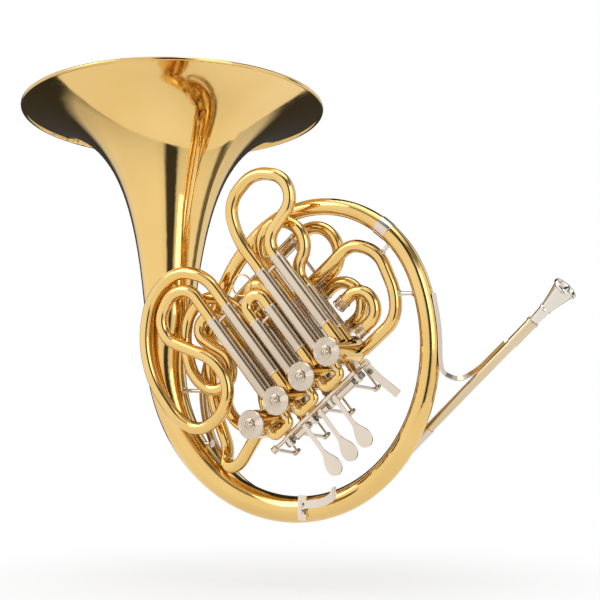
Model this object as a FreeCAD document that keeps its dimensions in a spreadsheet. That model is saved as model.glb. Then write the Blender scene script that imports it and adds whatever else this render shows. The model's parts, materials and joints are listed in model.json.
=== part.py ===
import FreeCAD, Part
import math
import os
from FreeCAD import Placement, Rotation, Vector

# A double french horn. The coil lies in the XZ plane, +Z is up, +Y points to the back of the horn
# (the side of the rotor linkage), and the origin is the middle of the main ring.
# Every size is in millimetres, every angle in degrees.

SIZES = {
    # bell
    "bell_rim_radius": 155.0,
    "bell_length": 201.0,
    "flare_start": 45.0,
    "flare_power": 1.03,
    "bell_wall": 0.6,
    "rim_bead_radius": 2.0,
    "bell_bend_length": 40.0,
    # main ring
    "ring_radius": 148.4,
    "ring_depth": 8.0,
    "tail_start_radius": 22.5,
    "tail_wall": 0.6,
    "ferrule_length": 14.0,
    "ferrule_wall": 0.6,
    "branch_start_radius": 8.7,
    "branch_end_radius": 6.5,
    # cylindrical tubing and slides
    "tube_radius": 6.2,
    "tube_wall": 0.55,
    "sleeve_wall": 0.45,
    "slide_clearance": 0.05,
    "slide_gap": 0.3,
    "slide_leg": 34.0,
    "front_level": -23.0,
    "rear_level": -6.8,
    "slide_half_pitch": 11.0,
    "front_sleeve_long": 111.0,
    "front_sleeve_short": 78.0,
    "rear_sleeve": 72.0,
    # leadpipe and mouthpiece
    "leadpipe_depth": 27.0,
    "leadpipe_radius": 4.6,
    "receiver_radius": 5.4,
    "receiver_length": 30.0,
    "mouthpiece_clearance": 0.05,
    "mouthpiece_rim_radius": 12.5,
    "mouthpiece_length": 45.0,
    # valves
    "valve_pitch": 37.0,
    "row_angle": 40.5,
    "casing_radius": 14.0,
    "casing_wall": 1.4,
    "casing_front": -34.0,
    "casing_back": 14.0,
    "rotor_clearance": 0.05,
    "cap_radius": 15.2,
    "cap_thickness": 4.0,
    "plate_thickness": 3.0,
    "spindle_radius": 3.0,
    "stop_arm_reach": 10.0,
    # levers
    "rod_radius": 2.0,
    "rod_clearance": 0.05,
    "rod_drop": 34.0,
    "rod_depth": -14.0,
    "barrel_radius": 3.6,
    "paddle_length": 58.0,
    "paddle_width": 17.0,
    "paddle_thickness": 1.6,
    "link_depth": 28.0,
}

doc = FreeCAD.newDocument("french_horn")
sheet = doc.addObject("Spreadsheet::Sheet", "sizes")
for row_number, (alias, value) in enumerate(SIZES.items(), start=1):
    sheet.set("A%d" % row_number, alias.replace("_", " "))
    sheet.set("B%d" % row_number, "%g" % value)
    sheet.setAlias("B%d" % row_number, alias)
doc.recompute()


def size(alias):
    """The value of one cell of the sheet."""
    return float(sheet.get(alias))


UP = Vector(0, 0, 1)
BACK = Vector(0, 1, 0)
ROW_ANGLE = math.radians(size("row_angle"))
ALONG_ROW = Vector(math.cos(ROW_ANGLE), 0, math.sin(ROW_ANGLE))
ALONG_SLIDE = Vector(-math.sin(ROW_ANGLE), 0, math.cos(ROW_ANGLE))
ROW_CENTRE = Vector(15.9, 0, -23.5)
RING_CENTRE = Vector(-5.7, size("ring_depth"), 4.0)
BELL_AXIS = Vector(-0.121, 0.2096, 0.970).normalize()
VALVE_STATIONS = [size("valve_pitch") * steps for steps in (1.5, 0.5, -0.5, -1.5)]
SLEEVE_RADIUS = size("tube_radius") + size("sleeve_wall")
HAIRLINE = 1e-6
# The part of a straight run between two corners that one corner's arc may use up.
CORNER_SHARE = 0.48

nodes = {}
outsides = {}


# ---- small tools ------------------------------------------------------------------------------

def on_row(along, across, depth):
    """A point given along the valve row, along the slides, and in depth."""
    return ROW_CENTRE + ALONG_ROW * along + ALONG_SLIDE * across + BACK * depth


def polar(centre, radius, degrees):
    """A point on a circle that lies parallel to the coil plane."""
    turn = math.radians(degrees)
    return centre + Vector(math.cos(turn), 0, math.sin(turn)) * radius


def facing(origin, direction):
    """A placement at origin whose own Z points along direction."""
    return Placement(origin, Rotation(UP, direction))


def cell(alias, extra=""):
    """An expression that reads one cell of the sheet."""
    return "<<sizes>>.%s%s" % (alias, extra)


def add(kind, label, **values):
    """A document object with its own label and plain values."""
    thing = doc.addObject(kind, label)
    thing.Label = label
    for name, value in values.items():
        setattr(thing, name, value)
    return thing


def keep(label, thing):
    """Name a finished sub-part."""
    thing.Label = label
    nodes[label] = thing
    return thing


def bound(thing, name, expression):
    """Bind a property to the sheet, or set it when it is a plain number."""
    if isinstance(expression, str):
        thing.setExpression(name, expression)
    else:
        setattr(thing, name, expression)


def rod(label, start, end, radius):
    """A solid round bar between two points."""
    bar = add("Part::Cylinder", label, Height=(end - start).Length)
    bar.Placement = facing(start, end - start)
    bound(bar, "Radius", radius)
    return bar


def cone(label, start, end, first, last):
    """A solid cone between two points."""
    taper = add("Part::Cone", label, Height=(end - start).Length)
    taper.Placement = facing(start, end - start)
    bound(taper, "Radius1", first)
    bound(taper, "Radius2", last)
    return taper


def ball(label, centre, radius):
    """A solid ball."""
    bead = add("Part::Sphere", label)
    bead.Placement = Placement(centre, Rotation())
    bound(bead, "Radius", radius)
    return bead


def row_box(label, along, across, depth):
    """A box square to the valve row: each range is a (low, high) pair."""
    block = add("Part::Box", label, Length=along[1] - along[0], Width=depth[1] - depth[0],
                Height=across[1] - across[0])
    turned = Rotation(ALONG_ROW, BACK, ALONG_SLIDE, "ZXY")
    block.Placement = Placement(on_row(along[0], across[0], depth[0]), turned)
    return block


def cut(label, base, tool):
    """Base without tool."""
    return add("Part::Cut", label, Base=base, Tool=tool)


def fuse(label, parts):
    """Several shapes as one solid."""
    return add("Part::MultiFuse", label, Shapes=parts)


def group(label, parts):
    """Several separate solids in one node."""
    return add("Part::Compound", label, Links=parts)


def path(label, edges):
    """A wire for a sweep."""
    spine = add("Part::Feature", label + "_path")
    spine.Shape = Part.Wire(edges)
    return spine


def section(label, origin, direction, radius):
    """A round section square to a path."""
    ring = add("Part::Circle", label)
    ring.Placement = facing(origin, direction)
    bound(ring, "Radius", radius)
    return ring


def rounded(points, end_share=0.9):
    """Straight runs through the points, with the largest tangent arc that each corner allows."""
    edges = []
    last = points[0]
    final = len(points) - 2
    for number, (before, corner, after) in enumerate(zip(points, points[1:], points[2:]), start=1):
        back = (before - corner).normalize()
        ahead = (after - corner).normalize()
        half_turn = (math.pi - back.getAngle(ahead)) / 2
        if half_turn < HAIRLINE:
            continue
        share_back = end_share if number == 1 else CORNER_SHARE
        share_ahead = end_share if number == final else CORNER_SHARE
        reach = min(share_back * (before - corner).Length, share_ahead * (after - corner).Length)
        radius = reach / math.tan(half_turn)
        start = corner + back * reach
        end = corner + ahead * reach
        middle = corner + (back + ahead).normalize() * (radius / math.cos(half_turn) - radius)
        if (start - last).Length > HAIRLINE:
            edges.append(Part.LineSegment(last, start).toShape())
        edges.append(Part.Arc(start, middle, end).toShape())
        last = end
    edges.append(Part.LineSegment(last, points[-1]).toShape())
    return edges


def swept(label, edges, radius):
    """A solid round bar along a path."""
    spine = path(label, edges)
    first = edges[0]
    start = first.valueAt(first.FirstParameter)
    heading = first.tangentAt(first.FirstParameter)
    profile = section(label + "_section", start, heading, radius)
    return add("Part::Sweep", label, Sections=[profile], Spine=(spine, []), Solid=True, Frenet=False)


def tube(label, edges, radius, bore):
    """A round tube along a path."""
    outsides[label] = swept(label + "_outside", edges, radius)
    return cut(label, outsides[label], swept(label + "_bore", edges, bore))


def pipe(label, start, end, radius, bore):
    """A straight round tube."""
    past = (end - start).normalize()
    inside = rod(label + "_bore", start - past, end + past, bore)
    return cut(label, rod(label + "_outside", start, end, radius), inside)


def taper(label, edges, stations):
    """A solid that tapers along a path; each station is (point, heading, radius)."""
    spine = path(label, edges)
    rings = [section("%s_section_%d" % (label, number), *station)
             for number, station in enumerate(stations, start=1)]
    return add("Part::Sweep", label, Sections=rings, Spine=(spine, []), Solid=True, Frenet=False)


def taper_tube(label, edges, stations, wall):
    """A tapering tube of one wall thickness."""
    inner = [(point, heading, radius - wall) for point, heading, radius in stations]
    outsides[label] = taper(label + "_outside", edges, stations)
    return cut(label, outsides[label], taper(label + "_bore", edges, inner))


TUBE = cell("tube_radius")
TUBE_BORE = cell("tube_radius", " - <<sizes>>.tube_wall")
SLEEVE = cell("tube_radius", " + <<sizes>>.sleeve_wall")
SLEEVE_BORE = TUBE
LEG = cell("tube_radius", " - <<sizes>>.slide_clearance")
CROOK = cell("tube_radius", " + <<sizes>>.slide_clearance")
PIPE = cell("leadpipe_radius")
PIPE_BORE = cell("leadpipe_radius", " - <<sizes>>.tube_wall")


# ---- bell ---------------------------------------------------------------------------------------

def flare_radius(from_rim):
    """Outer radius of the flare at a distance from the rim."""
    reach = size("flare_start")
    return size("bell_rim_radius") * (reach / (from_rim + reach)) ** size("flare_power")


def ring_heading(degrees):
    """Direction of travel round the ring, anticlockwise seen from the front."""
    turn = math.radians(degrees)
    return Vector(-math.sin(turn), 0, math.cos(turn))


TAIL_TOP_ANGLE = 172.0
TAIL_TOP = polar(RING_CENTRE, size("ring_radius"), TAIL_TOP_ANGLE)
TAIL_RISE = ring_heading(TAIL_TOP_ANGLE) * -1
BEND_ANGLE = TAIL_RISE.getAngle(BELL_AXIS)
BEND_RADIUS = size("bell_bend_length") / BEND_ANGLE
BEND_SIDE = (BELL_AXIS - TAIL_RISE * TAIL_RISE.dot(BELL_AXIS)).normalize()


def bend_point(turn):
    """A point on the bend between the bell and the ring, turn radians up from the ring."""
    return TAIL_TOP + TAIL_RISE * (BEND_RADIUS * math.sin(turn)) + BEND_SIDE * (
        BEND_RADIUS * (1 - math.cos(turn)))


BELL_THROAT = bend_point(BEND_ANGLE)
FLARE_STATIONS = [1.0, 0.85, 0.7, 0.56, 0.44, 0.34, 0.25, 0.17, 0.11, 0.06, 0.025, 0.0]

RIM_FLAT = 0.4


def bell_flare():
    """The flare is turned about its own axis, with a rolled bead round the rim."""
    length = size("bell_length")
    wall = size("bell_wall")
    outer = [Vector(flare_radius(length * share), 0, length * (1 - share)) for share in FLARE_STATIONS]
    outline = Part.BSplineCurve()
    outline.interpolate(outer)
    inner = []
    for point in outer:
        along = outline.tangent(outline.parameter(point))[0]
        inner.append(point + Vector(-along.z, 0, along.x) * wall)
    inner[0].z = 0
    inner[-1].z = length
    lining = Part.BSplineCurve()
    lining.interpolate(inner)
    closing = [Part.LineSegment(outer[-1], inner[-1]).toShape(),
               Part.LineSegment(inner[0], outer[0]).toShape()]
    loop = Part.Wire(Part.sortEdges([outline.toShape(), lining.toShape()] + closing)[0])
    profile = add("Part::Feature", "bell_profile")
    profile.Shape = Part.Face(loop)
    sheet_metal = add("Part::Revolution", "bell_sheet", Source=profile, Axis=UP, Base=Vector(), Angle=360)
    bead = add("Part::Torus", "rim_bead")
    bead.Placement = Placement(UP * length, Rotation())
    bound(bead, "Radius1", cell("bell_rim_radius"))
    bound(bead, "Radius2", cell("rim_bead_radius"))
    above = add("Part::Cylinder", "rim_trim", Radius=size("bell_rim_radius") + 10, Height=10)
    above.Placement = Placement(UP * (length + size("rim_bead_radius") - RIM_FLAT), Rotation())
    whole = keep("bell_flare", cut("bell_flare", fuse("bell_metal", [sheet_metal, bead]), above))
    whole.Placement = facing(BELL_THROAT, BELL_AXIS)


# The ring is three tangent arcs: (radius, swept angle). Stations give the outer radius on the way.
UPPER_RADIUS = 112.0
SIDE_RADIUS = 175.0
SIDE_START = 330.0
SIDE_END = 382.0
FERRULE_ANGLE = 413.0
SIDE_CENTRE = polar(RING_CENTRE, size("ring_radius") - SIDE_RADIUS, SIDE_START)
UPPER_CENTRE = polar(SIDE_CENTRE, SIDE_RADIUS - UPPER_RADIUS, SIDE_END)
TAIL_TAPER = [(200, 0.80), (230, 0.68), (270, 0.59), (330, 0.48)]
TAIL_END = [(356, 0.44), (382, 0.415)]


def arc_between(centre, radius, first, last):
    """One arc parallel to the coil plane."""
    middle = polar(centre, radius, (first + last) / 2)
    return Part.Arc(polar(centre, radius, first), middle, polar(centre, radius, last)).toShape()


def bell_tail():
    """The tapering bell tail, from the throat round the ring to the ferrule."""
    start_radius = size("tail_start_radius")
    bend = Part.Arc(BELL_THROAT, bend_point(BEND_ANGLE / 2), TAIL_TOP).toShape()
    edges = [bend, arc_between(RING_CENTRE, size("ring_radius"), TAIL_TOP_ANGLE, SIDE_START),
             arc_between(SIDE_CENTRE, SIDE_RADIUS, SIDE_START, SIDE_END),
             arc_between(UPPER_CENTRE, UPPER_RADIUS, SIDE_END, FERRULE_ANGLE)]
    stations = [(BELL_THROAT, BELL_AXIS * -1, flare_radius(size("bell_length"))),
                (TAIL_TOP, TAIL_RISE * -1, start_radius)]
    for angle, share in TAIL_TAPER:
        point = polar(RING_CENTRE, size("ring_radius"), angle)
        stations.append((point, ring_heading(angle), start_radius * share))
    for angle, share in TAIL_END:
        stations.append((polar(SIDE_CENTRE, SIDE_RADIUS, angle), ring_heading(angle), start_radius * share))
    stations.append((polar(UPPER_CENTRE, UPPER_RADIUS, FERRULE_ANGLE), ring_heading(FERRULE_ANGLE),
                     size("branch_start_radius")))
    keep("bell_tail", taper_tube("bell_tail", edges, stations, size("tail_wall")))


BRANCH_TURN_ANGLE = 490.0
BRANCH_RADIUS = 165.0
BRANCH_END_ANGLE = 562.0
BRANCH_CENTRE = polar(UPPER_CENTRE, UPPER_RADIUS - BRANCH_RADIUS, BRANCH_TURN_ANGLE)


def first_branch():
    """The first branch runs on from the ferrule, over the top and down inside the left of the ring."""
    first = size("branch_start_radius")
    last = size("branch_end_radius")
    edges = [arc_between(UPPER_CENTRE, UPPER_RADIUS, FERRULE_ANGLE, BRANCH_TURN_ANGLE),
             arc_between(BRANCH_CENTRE, BRANCH_RADIUS, BRANCH_TURN_ANGLE, BRANCH_END_ANGLE)]
    stations = [(polar(UPPER_CENTRE, UPPER_RADIUS, FERRULE_ANGLE), ring_heading(FERRULE_ANGLE), first),
                (polar(UPPER_CENTRE, UPPER_RADIUS, BRANCH_TURN_ANGLE), ring_heading(BRANCH_TURN_ANGLE),
                 (first + last) / 2),
                (polar(BRANCH_CENTRE, BRANCH_RADIUS, BRANCH_END_ANGLE), ring_heading(BRANCH_END_ANGLE),
                 last)]
    keep("first_branch", taper_tube("first_branch", edges, stations, size("tail_wall")))


def tail_ferrule():
    """The nickel ferrule that joins the bell tail to the first branch."""
    half_angle = math.degrees(size("ferrule_length") / 2 / UPPER_RADIUS)
    edges = [arc_between(UPPER_CENTRE, UPPER_RADIUS, FERRULE_ANGLE - half_angle,
                         FERRULE_ANGLE + half_angle)]
    bore = cell("branch_start_radius", " + 0.1")
    outside = cell("branch_start_radius", " + <<sizes>>.ferrule_wall + 0.1")
    keep("tail_ferrule", tube("tail_ferrule", edges, outside, bore))


# ---- slides -------------------------------------------------------------------------------------

# How far above the valve row the sleeves begin, on the left and right leg of each slide.
SLEEVE_START = (14.2, 24.0)
REAR_SLEEVE_START = (18.0, 18.0)
STRUT_FROM_MOUTH = 6.0
STRUT_RADIUS = 1.6
KNOB_RADIUS = 2.6
KNOB_FROM_MOUTH = 7.0
PULL_BAR_RADIUS = 1.3
PULL_RING_RADIUS = 10.5
PULL_WIRE_RADIUS = 0.9
FRONT_SECOND_RISE = 21.0
SOLDER = 0.3


def at_level(points, depth):
    """Row coordinates with a depth added."""
    return [on_row(along, across, depth) for along, across in points]


def sleeves(label, starts, mouths, strut=True):
    """The fixed outer legs of one slide: nickel tubes between start and mouth points."""
    parts = []
    for number, (start, mouth) in enumerate(zip(starts, mouths), start=1):
        parts.append(pipe("%s_%d" % (label, number), start, mouth, SLEEVE, SLEEVE_BORE))
    if strut:
        heading = (mouths[0] - starts[0]).normalize()
        across = (mouths[1] - mouths[0]).normalize()
        shorter = min((mouths[0] - starts[0]).Length, (mouths[1] - starts[1]).Length)
        first = mouths[0] - heading * min(STRUT_FROM_MOUTH, shorter / 3)
        second = first + across * (mouths[1] - mouths[0]).Length
        inset = across * (SLEEVE_RADIUS - size("sleeve_wall") / 2)
        parts.append(rod(label + "_strut", first + inset, second - inset, STRUT_RADIUS))
    return parts


def slide(label, corners, leg, pulls=()):
    """A moving slide: a bent crook with two thinner legs that run inside the sleeves."""
    lead_in = (corners[1] - corners[0]).normalize()
    lead_out = (corners[-2] - corners[-1]).normalize()
    gap = size("slide_gap")
    shown = [corners[0] + lead_in * gap] + corners[1:-1] + [corners[-1] + lead_out * gap]
    bends = rounded(shown)
    crook = swept(label + "_crook", bends, CROOK)
    legs = [rod(label + "_leg_1", shown[0] - lead_in * leg, shown[0] + lead_in * gap, LEG),
            rod(label + "_leg_2", shown[-1] - lead_out * leg, shown[-1] + lead_out * gap, LEG)]
    entry = Part.LineSegment(shown[0] - lead_in * (leg + gap), shown[0]).toShape()
    leave = Part.LineSegment(shown[-1], shown[-1] - lead_out * (leg + gap)).toShape()
    bore = swept(label + "_bore", [entry] + bends + [leave], TUBE_BORE)
    return cut(label, fuse(label + "_solid", [crook] + legs + list(pulls)), bore)


def casing_core(label, station):
    """The space that one valve casing takes up, longer than the casing."""
    return rod(label, on_row(station, 0, -60), on_row(station, 0, 40), cell("casing_radius"))


def valve_slides():
    """Each of the first three valves has a front (F side) and a rear (B flat side) slide."""
    half = size("slide_half_pitch")
    front = size("front_level")
    rear = size("rear_level")
    long_mouth = size("front_sleeve_long")
    short_mouth = size("front_sleeve_short")
    rear_mouth = size("rear_sleeve")
    first, second, third = VALVE_STATIONS[:3]
    layout = {
        "f1": (first, front, long_mouth, [(-half, 42), (4, 76), (45, 80), (68, 54), (60, 29), (half, 19)]),
        "f2": (second, front, short_mouth, [(-half, FRONT_SECOND_RISE), (half, FRONT_SECOND_RISE)]),
        "f3": (third, front, long_mouth,
               [(half, 39), (-11.5, 65), (-51.5, 65), (-86.5, 37), (-105.5, -1), (-107.5, -49),
                (-93.5, -75), (-61.5, -79), (-36.5, -61), (-35.5, -29), (-51.5, -3), (-65.5, 21),
                (-57.5, 41), (-31.5, 52), (-half, 41)]),
        "bb1": (first, rear, rear_mouth, [(-half, 57), (4, 74), (30, 72), (42, 50), (36, 30), (half, 20)]),
        "bb2": (second, rear, rear_mouth, [(-half, 40), (half, 40)]),
        "bb3": (third, rear, rear_mouth,
                [(half, 40), (-3.5, 66), (-33.5, 71), (-59.5, 50), (-73.5, 16), (-65.5, -10),
                 (-41.5, -16), (-27.5, 4), (-36.5, 26), (-41.5, 44), (-28.5, 55), (-half, 46)]),
    }
    fixed = {front: [], rear: []}
    for name, (station, level, mouth, bends) in layout.items():
        entry = 1 if bends[0][0] > 0 else -1
        local = [(entry * half, 0)] + bends + [(-entry * half, 0)]
        corners = at_level([(station + along, mouth + across) for along, across in local], level)
        label = name + "_slide"
        keep(label, slide(label, corners, size("slide_leg"), pulls(name, station, mouth, level)))
        mouths = at_level([(station - half, mouth), (station + half, mouth)], level)
        start = SLEEVE_START if level == front else REAR_SLEEVE_START
        starts = at_level([(station - half, start[0]), (station + half, start[1])], level)
        fixed[level] += sleeves(name + "_sleeve", starts, mouths)
    keep("front_sleeves", group("front_sleeves", fixed[front]))
    keep("rear_sleeves", group("rear_sleeves", fixed[rear]))


def pulls(name, station, mouth, level):
    """The short front slide carries its pulls: a turned bead between the legs, and a wire ring on top."""
    if name != "f2":
        return []
    across = mouth + KNOB_FROM_MOUTH
    inset = size("slide_half_pitch") - size("tube_radius") + SOLDER
    middle = on_row(station, across, level)
    bar = rod("f2_pull_bar", on_row(station - inset, across, level),
              on_row(station + inset, across, level), PULL_BAR_RADIUS)
    beads = [cone("f2_pull_knob", middle, middle + ALONG_ROW * side * KNOB_RADIUS, KNOB_RADIUS,
                  PULL_BAR_RADIUS) for side in (-1, 1)]
    crook_top = mouth + FRONT_SECOND_RISE + size("tube_radius")
    loop = add("Part::Torus", "f2_pull_ring", Radius1=PULL_RING_RADIUS, Radius2=PULL_WIRE_RADIUS)
    loop.Placement = facing(on_row(station, crook_top + PULL_RING_RADIUS - SOLDER, level), BACK)
    return [bar, loop] + beads


# ---- tubing behind the valves -------------------------------------------------------------------

MAIN_DEPTH = size("leadpipe_depth")
MAIN_LOW = 77.0
MAIN_HIGH = 129.0
MAIN_START = 30.0
F_DEPTH = 21.5
F_LOW = 22.0
F_HIGH = 64.0
F_START = 40.0
HOOP_DEPTH = size("ring_depth")
HOOP_HIGH = 77.0


def tuning_slides():
    """Three slides whose legs run along the valve row: the main one and one for each side."""
    # depth, lower and upper leg, start and mouth of the sleeves, leg length, reach of the bend
    layout = {
        "main_tuning": (MAIN_DEPTH, MAIN_LOW, MAIN_HIGH, MAIN_START, 74.0, 30.0, 26.0),
        "f_tuning": (F_DEPTH, F_LOW, F_HIGH, F_START, 68.0, 22.0, 21.0),
        "bb_tuning": (HOOP_DEPTH, 6.0, 40.0, 74.0, 84.0, 7.0, 17.0),
    }
    for name, (depth, low, high, start, mouth, leg, bend) in layout.items():
        top = mouth + bend + size("tube_radius")
        corners = [(mouth, low), (top, low), (top, high), (mouth, high)]
        keep(name + "_slide", slide(name + "_slide", at_level(corners, depth), leg))
        starts = at_level([(start, low), (start, high)], depth)
        mouths = at_level([(mouth, low), (mouth, high)], depth)
        legs = sleeves(name + "_sleeve", starts, mouths, strut=name != "bb_tuning")
        keep(name + "_sleeves", group(name + "_sleeves", legs))


HOOP_REACH = 130.5
BRANCH_DEPTH = -12.0
BRANCH_DROP = Vector(-0.55, 0, -0.835)


def fixed_tubing():
    """The soldered tubes that join the leadpipe, slides and valves."""
    fourth = VALVE_STATIONS[3]
    inside = size("casing_radius") - 2.0
    right = VALVE_STATIONS[0] + inside
    soldered("f_branch_loop", at_level(
        [(right, -10), (right + 46, -10), (HOOP_REACH, 9), (HOOP_REACH + 12, 52), (124, HOOP_HIGH + 1),
         (98, HOOP_HIGH), (-66, HOOP_HIGH), (-90, 46), (-87, 14), (fourth - inside, 4)], HOOP_DEPTH))
    branch_end = polar(BRANCH_CENTRE, BRANCH_RADIUS, BRANCH_END_ANGLE)
    branch_run = ring_heading(BRANCH_END_ANGLE)
    entry = on_row(fourth, 0, BRANCH_DEPTH)
    soldered("branch_elbow", [branch_end, branch_end + branch_run * 28, Vector(-76, -3, -104),
                              entry + BRANCH_DROP * 52, entry + BRANCH_DROP * inside])
    soldered("main_return_tube", [
        on_row(MAIN_START, MAIN_LOW, MAIN_DEPTH), on_row(-36, MAIN_LOW, MAIN_DEPTH), on_row(-44, 44, 24),
        on_row(-50, 26, 8), on_row(fourth + 2, inside, 6)])
    soldered("f_feed_tube", [
        on_row(F_START, F_HIGH, F_DEPTH), on_row(8, F_HIGH, F_DEPTH), on_row(-3, 44, 20), on_row(0, 26, 9),
        on_row(10, inside - 2, 7)])


def soldered(label, corners):
    """A plain tube whose end is trimmed to the valve casings that it meets."""
    run = tube(label, rounded(corners), TUBE, TUBE_BORE)
    keep(label, cut(label, run, valve_cores))


RECEIVER_MOUTH = Vector(244.7, MAIN_DEPTH, 42.1)
LEADPIPE_RUN = Vector(-0.725, 0, -0.689).normalize()
LOW_ANGLE = 256.0
LOW_RADIUS = 105.0
CLIMB_ANGLE = 188.0
CLIMB_LENGTH = 28.0
PIPE_SOCKET = 8.0


def receiver_point(from_mouth):
    """A point on the receiver's axis."""
    return RECEIVER_MOUTH + LEADPIPE_RUN * from_mouth


def leadpipe():
    """The leadpipe is tangent to a circle behind the ring, then climbs to the main tuning slide."""
    centre = Vector(RING_CENTRE.x, MAIN_DEPTH, RING_CENTRE.z)
    normal = Vector(-LEADPIPE_RUN.z, 0, LEADPIPE_RUN.x)
    reach = (RECEIVER_MOUTH - centre).dot(normal)
    touch_angle = math.degrees(math.atan2(normal.z, normal.x)) + 360
    low_centre = polar(centre, reach - LOW_RADIUS, LOW_ANGLE)
    start = receiver_point(size("receiver_length") - PIPE_SOCKET)
    straight = Part.LineSegment(start, polar(centre, reach, touch_angle)).toShape()
    foot = polar(low_centre, LOW_RADIUS, CLIMB_ANGLE)
    climb = rounded([foot, foot - ring_heading(CLIMB_ANGLE) * CLIMB_LENGTH,
                     on_row(-36, MAIN_HIGH, MAIN_DEPTH), on_row(MAIN_START, MAIN_HIGH, MAIN_DEPTH)])
    arcs = [arc_between(centre, reach, touch_angle, LOW_ANGLE),
            arc_between(low_centre, LOW_RADIUS, LOW_ANGLE, CLIMB_ANGLE)]
    keep("leadpipe", tube("leadpipe", [straight] + arcs + climb, PIPE, PIPE_BORE))


# ---- leadpipe fittings and mouthpiece -------------------------------------------------------------

SHANK_RADIUS = 3.9
SHANK_LENGTH = 20.0
COLLAR_LENGTH = 3.0


def receiver():
    """The brass sleeve that takes the mouthpiece's shank; the leadpipe is soldered into its far end."""
    length = size("receiver_length")
    outside = rod("receiver_outside", receiver_point(0), receiver_point(length), cell("receiver_radius"))
    collar = rod("receiver_collar", receiver_point(0), receiver_point(COLLAR_LENGTH),
                 cell("receiver_radius", " + 0.7"))
    step = length - PIPE_SOCKET
    shank_bore = rod("receiver_bore", receiver_point(-1), receiver_point(step),
                     SHANK_RADIUS + size("mouthpiece_clearance"))
    pipe_bore = rod("receiver_pipe_bore", receiver_point(step), receiver_point(length + 1), PIPE)
    body = fuse("receiver_body", [outside, collar])
    bores = fuse("receiver_bores", [shank_bore, pipe_bore])
    keep("mouthpipe_receiver", cut("mouthpipe_receiver", body, bores))


def mouthpiece():
    """A turned mouthpiece: funnel cup, throat and tapered shank, with a straight tenon."""
    length = size("mouthpiece_length")
    rim = size("mouthpiece_rim_radius")
    gap = size("slide_gap")
    base = SHANK_LENGTH + gap
    cup_end = length * 0.62
    outline = [(0, rim - 5.0), (-1.2, rim - 2.5), (0, rim - 0.6), (1.6, rim), (3.4, rim - 0.3),
               (4.6, rim - 1.6), (length * 0.30, rim * 0.70), (length * 0.48, rim * 0.51),
               (cup_end, rim * 0.43), (cup_end + 2.0, rim * 0.49), (cup_end + 4.0, rim * 0.43),
               (length - gap, rim * 0.36), (length - gap, SHANK_RADIUS),
               (length - gap + base, SHANK_RADIUS), (length - gap + base, 2.9),
               (length * 0.62, 2.4), (length * 0.42, 2.6), (length * 0.2, 5.2), (1.5, 8.4)]
    points = [Vector(radius, 0, -depth) for depth, radius in outline]
    profile = add("Part::Feature", "mouthpiece_profile")
    profile.Shape = Part.Face(Part.makePolygon(points + [points[0]]))
    turned = add("Part::Revolution", "mouthpiece", Source=profile, Axis=UP, Base=Vector(), Angle=360)
    turned.Placement = facing(receiver_point(-length), LEADPIPE_RUN * -1)
    keep("mouthpiece", turned)


def strap(label, points, width, thickness, across=BACK):
    """A flat strap bent along a path: width lies along across."""
    edges = rounded(points)
    spine = path(label, edges)
    first = edges[0]
    start = first.valueAt(first.FirstParameter)
    heading = first.tangentAt(first.FirstParameter).normalize()
    side = across.normalize()
    rise = heading.cross(side).normalize()
    corners = [start + side * (w * width / 2) + rise * (h * thickness / 2)
               for w, h in ((-1, -1), (1, -1), (1, 1), (-1, 1))]
    profile = add("Part::Feature", label + "_section")
    profile.Shape = Part.makePolygon(corners + [corners[0]])
    return add("Part::Sweep", label, Sections=[profile], Spine=(spine, []), Solid=True, Frenet=False)


def ring_radius_at(angle):
    """Outer radius of the bell tail near an angle on the side arc."""
    known = [(330.0, TAIL_TAPER[-1][1])] + [(float(a), s) for a, s in TAIL_END]
    for (low, first), (high, last) in zip(known, known[1:]):
        if low <= angle <= high:
            return size("tail_start_radius") * (first + (last - first) * (angle - low) / (high - low))
    return size("tail_start_radius") * known[-1][1]


BRACE_WIDTH = 7.0
BRACE_WALL = 1.2
BRACE_LIFT = 0.8
BRACE_SEAT = 0.05
BRACE_ANGLES = (376.0, 366.0, 356.0)


def leadpipe_brace():
    """The S shaped nickel strap that holds the leadpipe away from the ring's outer side."""
    off_ring = BRACE_WALL / 2 + BRACE_LIFT
    side = [polar(SIDE_CENTRE, SIDE_RADIUS + ring_radius_at(angle) + off_ring, angle)
            for angle in BRACE_ANGLES]
    normal = Vector(LEADPIPE_RUN.z, 0, -LEADPIPE_RUN.x)
    off_pipe = size("leadpipe_radius") + BRACE_WALL / 2 + BRACE_SEAT
    route = side + [side[-1] + Vector(1.5, 1.5, -12), receiver_point(92) + normal * 9 - BACK * 9,
                    receiver_point(74) + normal * off_pipe - BACK, receiver_point(36) + normal * off_pipe]
    band = strap("brace_strap", route, BRACE_WIDTH, BRACE_WALL)
    keep("leadpipe_brace", cut("leadpipe_brace", band, outsides["leadpipe"]))


GUARD_START = 150.0
GUARD_END = 214.0


def leadpipe_guard():
    """A nickel sleeve round the lower leadpipe, where the hand rests."""
    inside = cell("leadpipe_radius", " + 0.05")
    outside = cell("leadpipe_radius", " + 0.9")
    keep("leadpipe_guard", pipe("leadpipe_guard", receiver_point(GUARD_START), receiver_point(GUARD_END),
                                outside, inside))


# ---- valves -----------------------------------------------------------------------------------------

SPINDLE_END = 23.4
ARM_REST = 225.0
HUB_LENGTH = 4.0
HUB_OFF_BEARING = 0.4
BEARING_HEIGHT = 1.4
STUD_LENGTH = 6.5


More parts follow.
